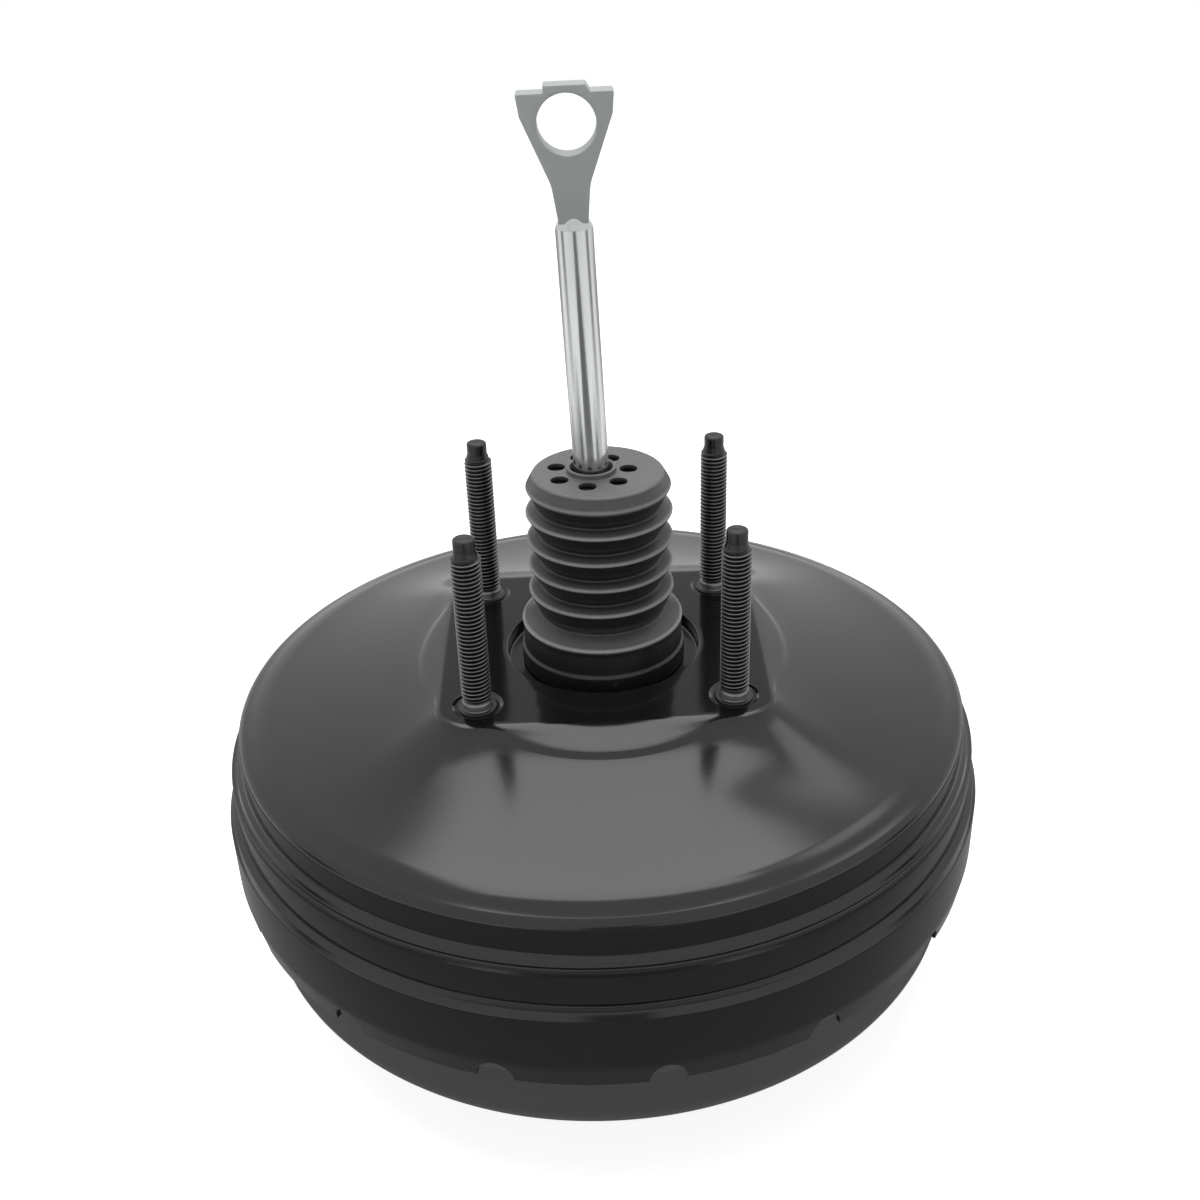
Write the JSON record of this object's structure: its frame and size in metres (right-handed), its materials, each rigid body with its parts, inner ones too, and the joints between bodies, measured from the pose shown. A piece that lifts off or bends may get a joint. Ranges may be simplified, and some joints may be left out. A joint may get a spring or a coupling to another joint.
{
  "type": "vacuum brake booster",
  "caption": "Round pressed-steel vacuum brake booster: domed rear shell with studded square pad, bellows boot, eye-ended pushrod, and a tandem piston inside.",
  "frame": {"origin": "middle of the firewall pad, on the plane that bears on the firewall", "axes": "+Z along the pushrod towards the pedal; X and Y along the sides of the square pad"},
  "size_m": [0.276, 0.276, 0.3334],
  "materials": {
    "black_paint": "semi-gloss black paint over pressed steel",
    "black_oxide": "black oxide on steel thread",
    "rod_steel": "bright drawn steel, greyer on the flattened end",
    "boot_rubber": "matte dark rubber",
    "inner_steel": "zinc plated pressed steel",
    "spring_steel": "oiled spring wire",
    "seal_rubber": "black seal rubber",
    "moulded_resin": "glass filled phenolic resin",
    "plunger_alloy": "turned aluminium",
    "black_plastic": "black nylon",
    "filter_foam": "grey open-cell foam and felt"
  },
  "bodies": {
    "housing": {"rear_shell": "black_paint", "firewall_studs": "black_oxide", "rear_reinforcement_plate": "inner_steel", "front_shell": "black_paint", "front_reinforcement_plate": "inner_steel", "master_cylinder_studs": "black_oxide", "centre_plate": "inner_steel", "divider_seal": "seal_rubber", "rear_diaphragm": "seal_rubber", "front_diaphragm": "seal_rubber", "neck_seal": "seal_rubber", "neck_bush": "moulded_resin", "dust_boot": "boot_rubber", "return_spring": "spring_steel", "check_valve_body": "black_plastic", "check_valve_grommet": "seal_rubber", "check_valve_spring": "spring_steel"},
    "power_piston": {"valve_body": "moulded_resin", "rear_diaphragm_plate": "inner_steel", "front_diaphragm_plate": "inner_steel", "plate_retainer": "inner_steel", "plunger_key": "inner_steel", "reaction_disc": "seal_rubber", "output_rod": "inner_steel", "output_rod_retainer": "inner_steel", "poppet_valve": "seal_rubber", "poppet_spring": "spring_steel", "poppet_retainer": "inner_steel", "rod_return_spring": "spring_steel", "air_filter": "filter_foam", "air_silencer": "filter_foam"},
    "plunger": {"valve_plunger": "plunger_alloy"},
    "pushrod": {"pushrod": "rod_steel", "spring_seat": "inner_steel"},
    "check_disc": {"check_valve_disc": "seal_rubber"}
  },
  "joints": [
    {"name": "piston_stroke", "type": "slide", "parent": "housing", "child": "power_piston", "axis": [0, 0, -1], "range_m": [0, 0.032], "stiffness_N_per_m": 2000, "springref_m": -0.02, "deforming": ["dust_boot", "rear_diaphragm", "front_diaphragm", "return_spring"]},
    {"name": "valve_stroke", "type": "slide", "parent": "power_piston", "child": "plunger", "axis": [0, 0, -1], "range_m": [0, 0.003], "stiffness_N_per_m": 2500, "springref_m": -0.008, "deforming": ["rod_return_spring"]},
    {"name": "pushrod_swivel", "type": "hinge", "parent": "plunger", "child": "pushrod", "pos_m": [0, 0, 0.002], "axis": [0, 1, 0], "range_deg": [-1, 1], "stiffness_Nm_per_rad": 20},
    {"name": "check_valve_lift", "type": "slide", "parent": "housing", "child": "check_disc", "axis": [0, 0, -1], "range_m": [0, 0.0015], "stiffness_N_per_m": 60, "springref_m": -0.003, "deforming": ["check_valve_spring"]}
  ]
}
